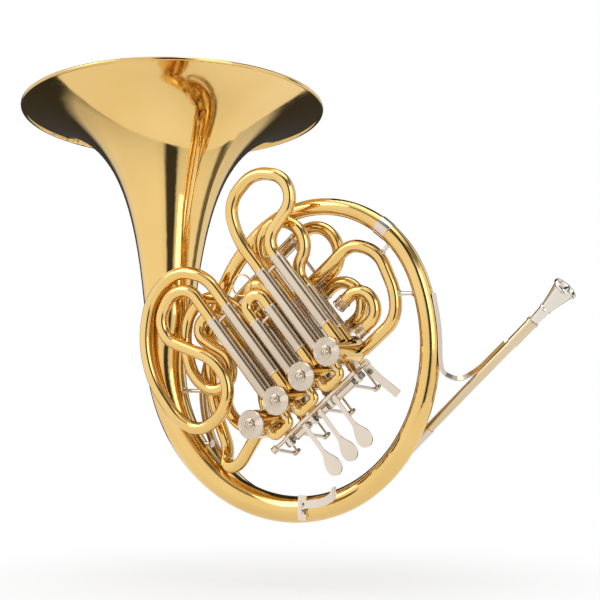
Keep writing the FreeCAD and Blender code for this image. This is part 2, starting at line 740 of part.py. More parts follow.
def valve_bodies():
    """Four rotary valves: casing, front cap, rear bearing plate, rotor and stop arm."""
    front = size("casing_front")
    back = size("casing_back")
    plate_back = back + size("plate_thickness")
    face = front - size("cap_thickness")
    casing_bore = cell("casing_radius", " - <<sizes>>.casing_wall")
    rotor_radius = cell("casing_radius", " - <<sizes>>.casing_wall - <<sizes>>.rotor_clearance")
    spindle_room = cell("spindle_radius", " + <<sizes>>.rotor_clearance")
    caps = []
    plates = []
    for number, station in enumerate(VALVE_STATIONS, start=1):
        name = "valve_%d" % number

        def at(depth):
            return on_row(station, 0, depth)

        casing = pipe(name + "_casing", at(front), at(back), cell("casing_radius"), casing_bore)
        keep(name + "_casing", casing)
        disc = rod(name + "_cap_disc", at(face), at(front), cell("cap_radius"))
        boss = cone(name + "_cap_boss", at(face + 0.5), at(face - 2.0), 6.0, 4.6)
        finial = cone(name + "_cap_finial", at(face - 1.5), at(face - 6.5), 3.6, 0.9)
        caps.append(fuse(name + "_cap", [disc, boss, finial]))
        plate = rod(name + "_plate_disc", at(back), at(plate_back), cell("casing_radius", " + 0.4"))
        bearing = rod(name + "_bearing", at(plate_back), at(plate_back + BEARING_HEIGHT), 6.0)
        hole = rod(name + "_plate_bore", at(back - 1), at(plate_back + 3), spindle_room)
        plates.append(cut(name + "_back_plate", fuse(name + "_plate_solid", [plate, bearing]), hole))
        drum = rod(name + "_rotor_drum", at(front + 1.0), at(back - 0.5), rotor_radius)
        passages = []
        for level in (size("front_level"), size("rear_level")):
            for side in (-1, 1):
                centre = station + side * size("casing_radius")
                passages.append(rod(name + "_passage", on_row(centre, -20, level),
                                    on_row(centre, 20, level), TUBE_BORE))
        spindle = rod(name + "_spindle", at(back - 1), at(SPINDLE_END), cell("spindle_radius"))
        body = cut(name + "_rotor_body", drum, fuse(name + "_passages", passages))
        keep(name + "_rotor", fuse(name + "_rotor", [body, spindle]))
        stop_arm(name, station, plate_back + BEARING_HEIGHT + HUB_OFF_BEARING)
    keep("valve_caps", group("valve_caps", caps))
    keep("valve_back_plates", group("valve_back_plates", plates))


def arm_end(station, depth):
    """Where the stop arm's ball stands at rest, 45 degrees below the row on its lower side."""
    turn = math.radians(ARM_REST)
    reach = size("stop_arm_reach")
    return on_row(station + reach * math.cos(turn), reach * math.sin(turn), depth)


def stop_arm(name, station, start):
    """The arm clamped on the rotor's spindle, with the stud that the link drives."""
    hub_end = start + HUB_LENGTH
    hub = rod(name + "_hub", on_row(station, 0, start), on_row(station, 0, hub_end), 5.2)
    middle = start + HUB_LENGTH / 2
    arm = rod(name + "_arm", on_row(station, 0, middle), arm_end(station, middle), 1.9)
    stud = rod(name + "_stud", arm_end(station, start), arm_end(station, start + STUD_LENGTH), 2.4)
    bore = rod(name + "_hub_bore", on_row(station, 0, start - 1), on_row(station, 0, hub_end + 1),
               cell("spindle_radius"))
    keep(name + "_stop_arm", cut(name + "_stop_arm", fuse(name + "_arm_solid", [hub, arm, stud]), bore))


BOW_LEVELS = (-24.0, 6.0)
BOW_DROP = -22.6
BOW_STRAIGHT = -13.0
BOW_INSET = 7.0
BOW_RADIUS = 4.4
BOW_TOP = -7.0
FERRULE_SPAN = (-16.6, -14.2)


def knuckle(along, top, level):
    """A short stub that carries one sleeve, trimmed to the casing it is soldered to."""
    stub = pipe("knuckle_stub", on_row(along, 1.0, level), on_row(along, top, level), TUBE, TUBE_BORE)
    return cut("knuckle", stub, valve_cores)


def knuckles_and_bows():
    """Brass knuckles under the slides' legs, and the short bows that link neighbouring valves."""
    half = size("slide_half_pitch")
    knuckles = []
    for station in VALVE_STATIONS[:3]:
        for side, front_top, rear_top in zip((-1, 1), SLEEVE_START, REAR_SLEEVE_START):
            knuckles.append(knuckle(station + side * half, front_top, size("front_level")))
            knuckles.append(knuckle(station + side * half, rear_top, size("rear_level")))
    keep("valve_knuckles", group("valve_knuckles", knuckles))
    bows = []
    ferrules = []
    for right, left in zip(VALVE_STATIONS, VALVE_STATIONS[1:]):
        first = right - BOW_INSET
        second = left + BOW_INSET
        for level in BOW_LEVELS:
            points = at_level([(first, BOW_STRAIGHT), (first, BOW_DROP), (second, BOW_DROP),
                               (second, BOW_STRAIGHT)], level)
            legs = at_level([(first, BOW_TOP), (second, BOW_TOP)], level)
            bend = rounded(points, CORNER_SHARE)
            whole = [Part.LineSegment(legs[0], points[0]).toShape()] + bend + [
                Part.LineSegment(points[-1], legs[1]).toShape()]
            bend = tube("bow", whole, BOW_RADIUS, BOW_RADIUS - size("tube_wall"))
            bows.append(cut("bow_trimmed", bend, valve_cores))
            for along in (first, second):
                low, high = (on_row(along, across, level) for across in FERRULE_SPAN)
                ferrules.append(pipe("bow_ferrule", low, high, BOW_RADIUS + 0.6, BOW_RADIUS))
    keep("valve_bows", group("valve_bows", bows))
    keep("bow_ferrules", group("bow_ferrules", ferrules))


# ---- levers -----------------------------------------------------------------------------------------

ROD_LEVEL = size("rod_depth")
ROD_ACROSS = -size("rod_drop")
THUMB_ACROSS = -25.0
THUMB_DEPTH = -4.0
LINK_DEPTH = size("link_depth")
TIP_DROP = size("stop_arm_reach") * math.sin(math.radians(45))
BARREL_BORE = cell("rod_radius", " + <<sizes>>.rod_clearance")
PIN_RADIUS = 1.2
STEM_HALF = 2.2
PADDLES = [25.4, 4.3, -18.1]


def lever_tip(along, across, depth):
    """The point at the end of a lever's back arm at rest, one stop arm drop below its middle place."""
    reach = LINK_DEPTH - depth
    sag = reach - math.sqrt(reach * reach - TIP_DROP * TIP_DROP)
    return on_row(along, across - TIP_DROP, LINK_DEPTH - sag)


def barrel(label, low, high, across, depth):
    """The tube of a lever that turns on the hinge rod."""
    return pipe(label, on_row(low, across, depth), on_row(high, across, depth), cell("barrel_radius"),
                BARREL_BORE)


def paddle(label, along):
    """A teardrop touch plate on a narrow stem, in front of the hinge rod."""
    width = size("paddle_width")
    thick = size("paddle_thickness")
    front = ROD_LEVEL - size("barrel_radius") - thick * 0.5
    end = width / 2
    root = ROD_ACROSS + 3.0
    far = ROD_ACROSS - size("paddle_length") + end
    shoulder = far + width * 1.25

    def at(half, across):
        return on_row(along + half, across, front)

    left = Part.BezierCurve()
    left.setPoles([at(-STEM_HALF, shoulder), at(-STEM_HALF, shoulder - 9), at(-end, far + 10), at(-end, far)])
    right = Part.BezierCurve()
    right.setPoles([at(end, far), at(end, far + 10), at(STEM_HALF, shoulder - 9), at(STEM_HALF, shoulder)])
    edges = [Part.LineSegment(at(-STEM_HALF, root), at(-STEM_HALF, shoulder)).toShape(), left.toShape(),
             Part.Arc(at(-end, far), at(0, far - end), at(end, far)).toShape(), right.toShape(),
             Part.LineSegment(at(STEM_HALF, shoulder), at(STEM_HALF, root)).toShape(),
             Part.LineSegment(at(STEM_HALF, root), at(-STEM_HALF, root)).toShape()]
    profile = add("Part::Feature", label + "_outline")
    profile.Shape = Part.Face(Part.Wire(edges))
    return add("Part::Extrusion", label, Base=profile, Dir=BACK, LengthFwd=thick, Solid=True)


def hooked_arm(name, along, across, depth):
    """The back arm of a lever, its knob trimmed flat on the link's side, and the pin for the link."""
    tip = lever_tip(along, across, depth)
    root = on_row(along, across, depth)
    heading = (tip - root).normalize()
    arm = rod(name + "_arm", root + heading * 2.8, tip - heading * 1.0, 1.7)
    knob = ball(name + "_knob", tip - ALONG_ROW * 0.2, 2.6)
    trim = row_box(name + "_tip_trim", (along + 1.2, along + 6), (across - 26, across + 14),
                   (LINK_DEPTH - 8, LINK_DEPTH + 8))
    end = cut(name + "_tip", fuse(name + "_tip_all", [arm, knob]), trim)
    pin = rod(name + "_pin", tip - ALONG_ROW * 1.6, tip + ALONG_ROW * 5.2, PIN_RADIUS)
    return [end, pin]


def levers():
    """Three finger levers on one rod; each turns its rotor through a link."""
    for number, (along, station) in enumerate(zip(PADDLES, VALVE_STATIONS), start=1):
        name = "lever_%d" % number
        arm_along = station - size("stop_arm_reach")
        low = min(along, arm_along) - 4.0
        high = max(along, arm_along) + 4.0
        hollow = rod(name + "_rod_room", on_row(low - 1, ROD_ACROSS, ROD_LEVEL),
                     on_row(high + 1, ROD_ACROSS, ROD_LEVEL), BARREL_BORE)
        parts = [barrel(name + "_barrel", low, high, ROD_ACROSS, ROD_LEVEL), paddle(name + "_paddle", along)]
        parts += hooked_arm(name, arm_along, ROD_ACROSS, ROD_LEVEL)
        keep(name, cut(name, fuse(name + "_solid", parts), hollow))
        link("link_%d" % number, lever_tip(arm_along, ROD_ACROSS, ROD_LEVEL), station)


def link(label, tip, station):
    """A link rod: an eye on the lever's pin, and a cup that stands just behind the rotor's stud."""
    eye_start = tip + ALONG_ROW * 1.6
    eye_end = tip + ALONG_ROW * 4.6
    eye_outside = rod(label + "_eye", eye_start, eye_end, 2.6)
    eye_bore = rod(label + "_eye_bore", eye_start - ALONG_ROW, eye_end + ALONG_ROW,
                   PIN_RADIUS + size("rod_clearance"))
    stud = arm_end(station, 0)
    middle = (eye_start + eye_end) * 0.5
    cup = Vector(stud.x, middle.y, stud.z)
    run = rod(label + "_run", middle, cup, 1.15)
    end = rod(label + "_cup", cup - BACK * 1.6, cup + BACK * 1.6, 3.0)
    keep(label, cut(label, fuse(label + "_solid", [eye_outside, run, end]), eye_bore))


THUMB_END = 70.0


def thumb_lever():
    """The thumb lever's long torque rod runs behind the hinge rod to the fourth valve."""
    station = VALVE_STATIONS[3]
    arm_along = station - size("stop_arm_reach")

    def at(along, across=0.0, depth=0.0):
        return on_row(along, THUMB_ACROSS + across, THUMB_DEPTH + depth)

    shaft = rod("thumb_shaft", at(arm_along - 4), at(THUMB_END), cell("rod_radius"))
    hub = rod("thumb_hub", at(arm_along - 3), at(arm_along + 3), cell("barrel_radius"))
    head = rod("thumb_head", at(THUMB_END - 8), at(THUMB_END), cell("barrel_radius"))
    touch = strap("thumb_touch", [at(THUMB_END - 4, -2), at(THUMB_END - 3, -16, 2), at(THUMB_END - 2, -27, 7),
                                  at(THUMB_END + 1, -42, 9)], 8.0, 1.6, ALONG_ROW)
    arm = hooked_arm("thumb", arm_along, THUMB_ACROSS, THUMB_DEPTH)
    keep("thumb_lever", fuse("thumb_lever", [shaft, hub, head, touch] + arm))
    link("link_4", lever_tip(arm_along, THUMB_ACROSS, THUMB_DEPTH), station)


# Each post: its place along the row, and how far its foot reaches towards the casings.
POSTS = [(-42.0, -5.0), (-8.0, -8.5), (18.0, -10.0), (56.0, -10.0)]
POST_WIDTH = 4.0
RAIL_ACROSS = -28.6
RAIL_THICKNESS = 2.0
RAIL_FRONT = -19.4
RAIL_BACK = RAIL_FRONT + RAIL_THICKNESS
SPRINGS = [(-39.5, -33.5), (-5.5, -0.5), (12.9, 15.6), (50.0, 53.6)]
HINGE_SPAN = (-44.0, 60.0)
SCREW_HEAD = 2.5


def post(label, along, foot):
    """A plate from the rail back to the casings, bored for the hinge rod and the thumb rod."""
    start = along - POST_WIDTH / 2
    corners = [(-38.0, -12.0), (-37.0, -17.4), (RAIL_ACROSS - 1.5, RAIL_BACK), (RAIL_ACROSS + 1.5, RAIL_BACK),
               (-25.0, -9.5), (foot, -7.0), (foot, -1.0), (-24.0, 0.2), (-29.2, -2.0), (-35.0, -9.8)]
    points = [on_row(start, across, depth) for across, depth in corners]
    outline = add("Part::Feature", label + "_outline")
    outline.Shape = Part.Face(Part.makePolygon(points + [points[0]]))
    plate = add("Part::Extrusion", label + "_plate", Base=outline, Dir=ALONG_ROW, LengthFwd=POST_WIDTH,
                Solid=True)
    hinge_bore = rod(label + "_bore", on_row(start - 2, ROD_ACROSS, ROD_LEVEL),
                     on_row(start + POST_WIDTH + 2, ROD_ACROSS, ROD_LEVEL), cell("rod_radius"))
    thumb_bore = rod(label + "_thumb_bore", on_row(start - 2, THUMB_ACROSS, THUMB_DEPTH),
                     on_row(start + POST_WIDTH + 2, THUMB_ACROSS, THUMB_DEPTH), BARREL_BORE)
    return cut(label, plate, fuse(label + "_cuts", [hinge_bore, thumb_bore, valve_cores]))


def lever_carriage():
    """The hinge rod with its end screws, the posts that carry it, and the return springs."""
    rod_start, rod_end = (on_row(along, ROD_ACROSS, ROD_LEVEL) for along in HINGE_SPAN)
    bar = rod("hinge_rod_bar", rod_start, rod_end, cell("rod_radius"))
    heads = [rod("hinge_rod_head", rod_start - ALONG_ROW * SCREW_HEAD, rod_start, 3.4),
             rod("hinge_rod_nut", rod_end, rod_end + ALONG_ROW * SCREW_HEAD, 3.4)]
    keep("hinge_rod", fuse("hinge_rod", [bar] + heads))
    keep("lever_posts", group("lever_posts", [post("post_%d" % number, along, foot)
                                              for number, (along, foot) in enumerate(POSTS, start=1)]))
    springs = [pipe("spring", on_row(low, ROD_ACROSS, ROD_LEVEL), on_row(high, ROD_ACROSS, ROD_LEVEL),
                    4.0, 2.6) for low, high in SPRINGS]
    keep("return_springs", group("return_springs", springs))
    rail = row_box("rail_bar", (POSTS[0][0] - POST_WIDTH / 2, POSTS[-1][0] + POST_WIDTH / 2),
                   (RAIL_ACROSS - 1.5, RAIL_ACROSS + 1.5), (RAIL_FRONT, RAIL_BACK))
    bars = [row_box("carriage_bar", (along - 4.5, along + 4.5), (RAIL_ACROSS, -11.0),
                    (RAIL_FRONT - 0.2, RAIL_BACK - 0.2)) for along in (33.0, -1.5)]
    keep("carriage_rail", fuse("carriage_rail", [rail] + bars))


# ---- braces and little finger hook ---------------------------------------------------------------------

FOOT_LENGTH = 3.0
FOOT_SINK = 1.2
STRUT_BAR = 1.9
HOOP_STRUT_LEVEL = 68.0
HOOP_MIDDLE = 107.85
UPPER_STRUT = (Vector(91.0, HOOP_DEPTH, 103.7), Vector(108.9, HOOP_DEPTH, 122.3))
BRANCH_STRUT_LEVEL = -30.0
ELBOW_STRUT = (Vector(-124.5, HOOP_DEPTH, -84.0), Vector(-92.6, HOOP_DEPTH - 1.0, -82.0))


def strut(label, start, end, foot_radius, tubes):
    """A round brace with a flared foot at each end, saddled to the tubes that it joins."""
    run = (end - start).normalize()
    parts = [rod(label + "_bar", start, end, STRUT_BAR),
             cone(label + "_foot", start, start + run * FOOT_LENGTH, foot_radius, STRUT_BAR),
             cone(label + "_foot", end, end - run * FOOT_LENGTH, foot_radius, STRUT_BAR)]
    joined = fuse(label + "_tubes", [outsides[name] for name in tubes])
    return cut(label, fuse(label + "_solid", parts), joined)


def between(label, first, first_radius, second, second_radius, foot_radius, tubes):
    """A strut between the middles of two tubes, with its feet just inside their surfaces."""
    run = (second - first).normalize()
    start = first + run * (first_radius - FOOT_SINK)
    end = second - run * (second_radius - FOOT_SINK)
    return strut(label, start, end, foot_radius, tubes)


def braces():
    """Struts between the loops, the branch and the ring."""
    turn = math.asin((HOOP_STRUT_LEVEL - SIDE_CENTRE.z) / SIDE_RADIUS)
    ring_point = Vector(SIDE_CENTRE.x + SIDE_RADIUS * math.cos(turn), HOOP_DEPTH, HOOP_STRUT_LEVEL)
    tail = ring_radius_at(360 + math.degrees(turn)) / math.cos(turn)
    hoop_point = Vector(HOOP_MIDDLE, HOOP_DEPTH, HOOP_STRUT_LEVEL)
    parts = [between("ring_strut", hoop_point, size("tube_radius"), ring_point, tail, 4.0,
                     ["f_branch_loop", "bell_tail"]),
             between("upper_strut", UPPER_STRUT[0], size("tube_radius"), UPPER_STRUT[1],
                     size("branch_start_radius") + 0.6, 3.4, ["f_branch_loop", "bell_tail"])]
    tail_x = RING_CENTRE.x - math.sqrt(size("ring_radius") ** 2 - (BRANCH_STRUT_LEVEL - RING_CENTRE.z) ** 2)
    branch_x = BRANCH_CENTRE.x - math.sqrt(BRANCH_RADIUS ** 2 - (BRANCH_STRUT_LEVEL - BRANCH_CENTRE.z) ** 2)
    parts.append(between("branch_strut", Vector(tail_x, HOOP_DEPTH, BRANCH_STRUT_LEVEL),
                         size("tail_start_radius") * 0.86, Vector(branch_x, HOOP_DEPTH, BRANCH_STRUT_LEVEL),
                         size("branch_end_radius") + 0.3, 4.0, ["bell_tail", "first_branch"]))
    parts.append(between("elbow_strut", ELBOW_STRUT[0], size("tail_start_radius") * 0.72, ELBOW_STRUT[1],
                         size("tube_radius"), 4.0, ["bell_tail", "branch_elbow"]))
    keep("ring_braces", group("ring_braces", parts))


HOOK_X = 14.0
HOOK_TRACK = 24.0
HOOK_WIDTH = 9.0
HOOK_PLATE = 2.4
HOOK_RUNNER = 2.0


def finger_hook():
    """The adjustable little finger hook runs on a plate that is soldered to the front of the ring."""
    ring_z = RING_CENTRE.z - math.sqrt(size("ring_radius") ** 2 - (HOOK_X - RING_CENTRE.x) ** 2)
    ring_front = HOOP_DEPTH - size("tail_start_radius") * 0.575
    plate_front = ring_front - HOOK_PLATE + 0.6
    plate = add("Part::Box", "hook_plate", Length=HOOK_WIDTH, Width=HOOK_PLATE, Height=HOOK_TRACK)
    plate.Placement = Placement(Vector(HOOK_X - HOOK_WIDTH / 2, plate_front, ring_z - 10), Rotation())
    ring = swept("hook_ring", [arc_between(RING_CENTRE, size("ring_radius"), 262, 292)],
                 cell("tail_start_radius", " * 0.58"))
    keep("finger_hook_base", cut("finger_hook_base", plate, ring))
    runner_back = plate_front - size("slide_gap")
    runner = add("Part::Box", "hook_runner", Length=HOOK_WIDTH - 2, Width=HOOK_RUNNER, Height=13)
    runner.Placement = Placement(Vector(HOOK_X - HOOK_WIDTH / 2 + 1, runner_back - HOOK_RUNNER, ring_z - 4),
                                 Rotation())
    middle = runner_back - HOOK_RUNNER / 2
    start = Vector(HOOK_X, middle, ring_z + 5)
    bends = [Vector(), Vector(14, -1, 2), Vector(30, -7, 5), Vector(43, -14, 11), Vector(47, -18, 17)]
    blade = strap("hook_blade", [start + bend for bend in bends], 8.0, HOOK_RUNNER, UP)
    tip = rod("hook_tip", start + bends[-1] - UP * 4, start + bends[-1] + UP * 4, HOOK_RUNNER * 0.8)
    heads = [rod("hook_screw", Vector(HOOK_X, runner_back - HOOK_RUNNER - 2.4, ring_z + rise),
                 Vector(HOOK_X, runner_back - HOOK_RUNNER / 2, ring_z + rise), 2.6) for rise in (-1.0, 5.5)]
    keep("finger_hook", fuse("finger_hook", [runner, blade, tip] + heads))


valve_cores = fuse("valve_cores", [casing_core("valve_core_%d" % number, station)
                                   for number, station in enumerate(VALVE_STATIONS, start=1)])
bell_flare()
bell_tail()
first_branch()
tail_ferrule()
valve_slides()
tuning_slides()
fixed_tubing()
leadpipe()
receiver()
mouthpiece()
leadpipe_brace()
leadpipe_guard()
valve_bodies()
knuckles_and_bows()
levers()
thumb_lever()
lever_carriage()
braces()
finger_hook()

doc.recompute()
for thing in doc.Objects:
    if "Invalid" in thing.State or "Error" in thing.State:
        raise RuntimeError("%s did not build: %s" % (thing.Label, thing.State))
for label, thing in nodes.items():
    if thing.Shape.isNull() or not thing.Shape.isValid():
        raise RuntimeError("%s has no valid shape" % label)
os.makedirs("parts", exist_ok=True)
for label, thing in nodes.items():
    thing.Shape.exportStep("parts/%s.step" % label)
print("exported %d sub-parts" % len(nodes))
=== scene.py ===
import json
import math

import bmesh
import bpy
from mathutils import Matrix, Vector

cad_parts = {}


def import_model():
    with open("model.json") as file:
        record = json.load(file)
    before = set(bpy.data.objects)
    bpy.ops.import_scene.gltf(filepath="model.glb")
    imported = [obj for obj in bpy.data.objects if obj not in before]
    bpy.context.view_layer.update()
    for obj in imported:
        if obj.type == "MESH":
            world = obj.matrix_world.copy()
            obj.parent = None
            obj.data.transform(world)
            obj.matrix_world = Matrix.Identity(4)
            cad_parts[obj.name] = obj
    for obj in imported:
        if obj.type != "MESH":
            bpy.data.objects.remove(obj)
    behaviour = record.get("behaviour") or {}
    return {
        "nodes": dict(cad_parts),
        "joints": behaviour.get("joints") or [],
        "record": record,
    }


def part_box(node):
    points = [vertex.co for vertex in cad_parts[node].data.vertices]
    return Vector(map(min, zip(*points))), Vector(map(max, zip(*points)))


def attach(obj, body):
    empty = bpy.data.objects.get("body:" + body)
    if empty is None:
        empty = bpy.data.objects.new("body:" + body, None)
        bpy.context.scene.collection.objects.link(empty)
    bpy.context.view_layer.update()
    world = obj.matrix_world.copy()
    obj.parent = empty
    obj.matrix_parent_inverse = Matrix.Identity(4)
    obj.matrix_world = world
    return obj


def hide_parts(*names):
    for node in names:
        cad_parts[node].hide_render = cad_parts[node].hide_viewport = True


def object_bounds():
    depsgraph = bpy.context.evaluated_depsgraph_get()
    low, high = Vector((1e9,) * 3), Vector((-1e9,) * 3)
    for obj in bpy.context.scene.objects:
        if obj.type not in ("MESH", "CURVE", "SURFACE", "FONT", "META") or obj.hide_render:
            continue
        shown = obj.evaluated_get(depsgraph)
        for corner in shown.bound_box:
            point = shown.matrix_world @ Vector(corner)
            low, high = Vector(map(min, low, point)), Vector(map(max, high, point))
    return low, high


MM = 0.001
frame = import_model()
cad_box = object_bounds()
nodes = frame["nodes"]
joints = {joint["name"]: joint for joint in frame["joints"]}

# The frame's own directions: along the valve row, along the valve slides, and towards the back.
ROW = Vector(joints["lever_1_press"]["axis"]).normalized()
SLIDE = Vector(joints["f1_slide_pull"]["axis"]).normalized()
BACK = Vector((0, 1, 0))
SHANK = Vector(joints["mouthpiece_pull"]["axis"]).normalized()
VALVES = [Vector(joints["rotor_%d_turn" % number]["pos_m"]) for number in (1, 2, 3, 4)]


# ---- camera, light and floor --------------------------------------------------------------------

CAMERA_DISTANCE = 2.2
CAMERA_AZIMUTH = math.radians(30.0)
CAMERA_TARGET = Vector((0.00594, 0.00343, 0.0617))
FOCAL = 134.7


def camera():
    """A long lens, 30 degrees round to the mouthpiece side, level with the horn."""
    data = bpy.data.cameras.new("camera")
    data.lens = FOCAL
    data.sensor_width = 36.0
    data.clip_end = 50.0
    data.dof.use_dof = False
    view = bpy.data.objects.new("camera", data)
    bpy.context.scene.collection.objects.link(view)
    away = Vector((math.sin(CAMERA_AZIMUTH), -math.cos(CAMERA_AZIMUTH), 0))
    view.location = CAMERA_TARGET + away * CAMERA_DISTANCE
    view.rotation_euler = (-away).to_track_quat("-Z", "Y").to_euler()
    bpy.context.scene.camera = view


def area_light(name, place, aim, width, height, power, colour=(1, 1, 1)):
    """One softbox."""
    data = bpy.data.lights.new(name, "AREA")
    data.shape = "RECTANGLE"
    data.size = width
    data.size_y = height
    data.energy = power
    data.color = colour
    lamp = bpy.data.objects.new(name, data)
    bpy.context.scene.collection.objects.link(lamp)
    lamp.location = place
    lamp.rotation_euler = (Vector(aim) - Vector(place)).to_track_quat("-Z", "Y").to_euler()


def world():
    """A white studio with a few soft dark gaps between its panels, for the metal to reflect."""
    studio = bpy.data.worlds.new("studio")
    studio.use_nodes = True
    bpy.context.scene.world = studio
    tree = studio.node_tree
    tree.nodes.clear()
    make = tree.nodes.new
    link = tree.links.new
    coordinate = make("ShaderNodeTexCoord")
    split = make("ShaderNodeSeparateXYZ")
    link(coordinate.outputs["Generated"], split.inputs[0])
    around = make("ShaderNodeMath")
    around.operation = "ARCTAN2"
    link(split.outputs["X"], around.inputs[0])
    link(split.outputs["Y"], around.inputs[1])
    turn = make("ShaderNodeMapRange")
    turn.inputs["From Min"].default_value = -math.pi
    turn.inputs["From Max"].default_value = math.pi
    link(around.outputs[0], turn.inputs["Value"])
    panels = make("ShaderNodeValToRGB")
    stops = [(0.0, 1.0), (0.24, 1.0), (0.30, 0.8), (0.325, 0.05), (0.485, 0.05), (0.51, 0.8), (0.60, 0.9),
             (0.62, 0.15), (0.64, 0.15), (0.66, 0.95), (0.80, 1.0), (0.865, 0.85), (0.885, 0.05),
             (0.935, 0.05), (0.955, 0.9), (1.0, 1.0)]
    ramp_stops(panels, stops)
    link(turn.outputs[0], panels.inputs[0])
    height = make("ShaderNodeMapRange")
    height.inputs["From Min"].default_value = -1.0
    height.inputs["From Max"].default_value = 1.0
    link(split.outputs["Z"], height.inputs["Value"])
    tiers = make("ShaderNodeValToRGB")
    ramp_stops(tiers, [(0.0, 0.05), (0.08, 0.05), (0.14, 0.7), (0.30, 0.9), (0.48, 1.0), (0.62, 1.0),
                       (0.80, 1.0), (0.84, 0.25), (0.90, 0.25), (0.93, 0.95), (1.0, 0.95)])
    link(height.outputs[0], tiers.inputs[0])
    both = make("ShaderNodeMix")
    both.data_type = "RGBA"
    both.blend_type = "MULTIPLY"
    both.inputs["Factor"].default_value = 1.0
    link(panels.outputs[0], both.inputs["A"])
    link(tiers.outputs[0], both.inputs["B"])
    reflected = make("ShaderNodeBackground")
    reflected.inputs["Strength"].default_value = 1.05
    link(both.outputs["Result"], reflected.inputs["Color"])
    seen = make("ShaderNodeBackground")
    seen.inputs["Color"].default_value = (1, 1, 1, 1)
    seen.inputs["Strength"].default_value = 1.0
    ray = make("ShaderNodeLightPath")
    choose = make("ShaderNodeMixShader")
    link(ray.outputs["Is Camera Ray"], choose.inputs[0])
    link(reflected.outputs[0], choose.inputs[1])
    link(seen.outputs[0], choose.inputs[2])
    out = make("ShaderNodeOutputWorld")
    link(choose.outputs[0], out.inputs["Surface"])


def ramp_stops(ramp, stops):
    """Grey stops for a colour ramp."""
    points = ramp.color_ramp.elements
    while len(points) > 1:
        points.remove(points[-1])
    points[0].position = stops[0][0]
    points[0].color = (stops[0][1],) * 3 + (1,)
    for position, grey in stops[1:]:
        point = points.new(position)
        point.color = (grey, grey, grey, 1)


def floor():
    """A plain pale round floor just under the horn, fading to the white of the studio at its edge."""
    low = cad_box[0][2] - 0.06
    mesh = bpy.data.meshes.new("floor")
    reach = 0.60
    edge = [(reach * math.cos(math.radians(turn)), reach * math.sin(math.radians(turn)), low)
            for turn in range(0, 360, 5)]
    mesh.from_pydata(edge, [], [tuple(range(len(edge)))])
    ground = bpy.data.objects.new("floor", mesh)
    bpy.context.scene.collection.objects.link(ground)
    paint, tree, shader = principled("floor_paint", (0.90, 0.90, 0.90), 0.0, 0.8)
    noise_bump(tree, shader, 60.0, 0.02, 0.001)
    coordinate = tree.nodes.new("ShaderNodeTexCoord")
    distance = tree.nodes.new("ShaderNodeVectorMath")
    distance.operation = "LENGTH"
    tree.links.new(coordinate.outputs["Object"], distance.inputs[0])
    fade = tree.nodes.new("ShaderNodeMapRange")
    fade.interpolation_type = "SMOOTHSTEP"
    fade.inputs["From Min"].default_value = 0.10
    fade.inputs["From Max"].default_value = 0.50
    fade.inputs["To Min"].default_value = 0.55
    tree.links.new(distance.outputs["Value"], fade.inputs["Value"])
    glow = tree.nodes.new("ShaderNodeEmission")
    blend = tree.nodes.new("ShaderNodeMixShader")
    tree.links.new(fade.outputs[0], blend.inputs[0])
    tree.links.new(shader.outputs[0], blend.inputs[1])
    tree.links.new(glow.outputs[0], blend.inputs[2])
    tree.links.new(blend.outputs[0], tree.nodes["Material Output"].inputs["Surface"])
    mesh.materials.append(paint)


# ---- materials ------------------------------------------------------------------------------------

def principled(name, colour, metallic, roughness):
    """A material with its shader's fixed values on its own sockets."""
    material = bpy.data.materials.new(name)
    material.use_nodes = True
    tree = material.node_tree
    shader = tree.nodes["Principled BSDF"]
    shader.inputs["Base Color"].default_value = (*colour, 1)
    shader.inputs["Metallic"].default_value = metallic
    shader.inputs["Roughness"].default_value = roughness
    return material, tree, shader


def object_noise(tree, scale, stretch=None, detail=3.0, roughness=0.5):
    """Noise in object space, stretched along a direction when one is given."""
    coordinate = tree.nodes.new("ShaderNodeTexCoord")
    noise = tree.nodes.new("ShaderNodeTexNoise")
    noise.inputs["Scale"].default_value = scale
    noise.inputs["Detail"].default_value = detail
    noise.inputs["Roughness"].default_value = roughness
    source = coordinate.outputs["Object"]
    if stretch is not None:
        direction, amount = stretch
        mapping = tree.nodes.new("ShaderNodeMapping")
        mapping.vector_type = "TEXTURE"
        mapping.inputs["Rotation"].default_value = direction.to_track_quat("X", "Z").to_euler()
        mapping.inputs["Scale"].default_value = (amount, 1, 1)
        tree.links.new(source, mapping.inputs["Vector"])
        source = mapping.outputs["Vector"]
    tree.links.new(source, noise.inputs["Vector"])
    return noise


def noise_bump(tree, shader, scale, strength, distance, stretch=None):
    """Fine relief from noise."""
    noise = object_noise(tree, scale, stretch)
    bump = tree.nodes.new("ShaderNodeBump")
    bump.inputs["Strength"].default_value = strength
    bump.inputs["Distance"].default_value = distance
    tree.links.new(noise.outputs["Fac"], bump.inputs["Height"])
    tree.links.new(bump.outputs["Normal"], shader.inputs["Normal"])
    return bump


def vary_colour(tree, shader, noise, first, second, low=0.35, high=0.65):
    """Colour that drifts between two tones."""
    ramp = tree.nodes.new("ShaderNodeValToRGB")
    ends = ramp.color_ramp.elements
    ends[0].position = low
    ends[0].color = (*first, 1)
    ends[1].position = high
    ends[1].color = (*second, 1)
    tree.links.new(noise.outputs["Fac"], ramp.inputs[0])
    tree.links.new(ramp.outputs[0], shader.inputs["Base Color"])


def vary_roughness(tree, shader, noise, low, high):
    """Roughness that drifts with noise."""
    spread = tree.nodes.new("ShaderNodeMapRange")
    spread.inputs["From Min"].default_value = 0.3
    spread.inputs["From Max"].default_value = 0.7
    spread.inputs["To Min"].default_value = low
    spread.inputs["To Max"].default_value = high
    tree.links.new(noise.outputs["Fac"], spread.inputs["Value"])
    tree.links.new(spread.outputs[0], shader.inputs["Roughness"])


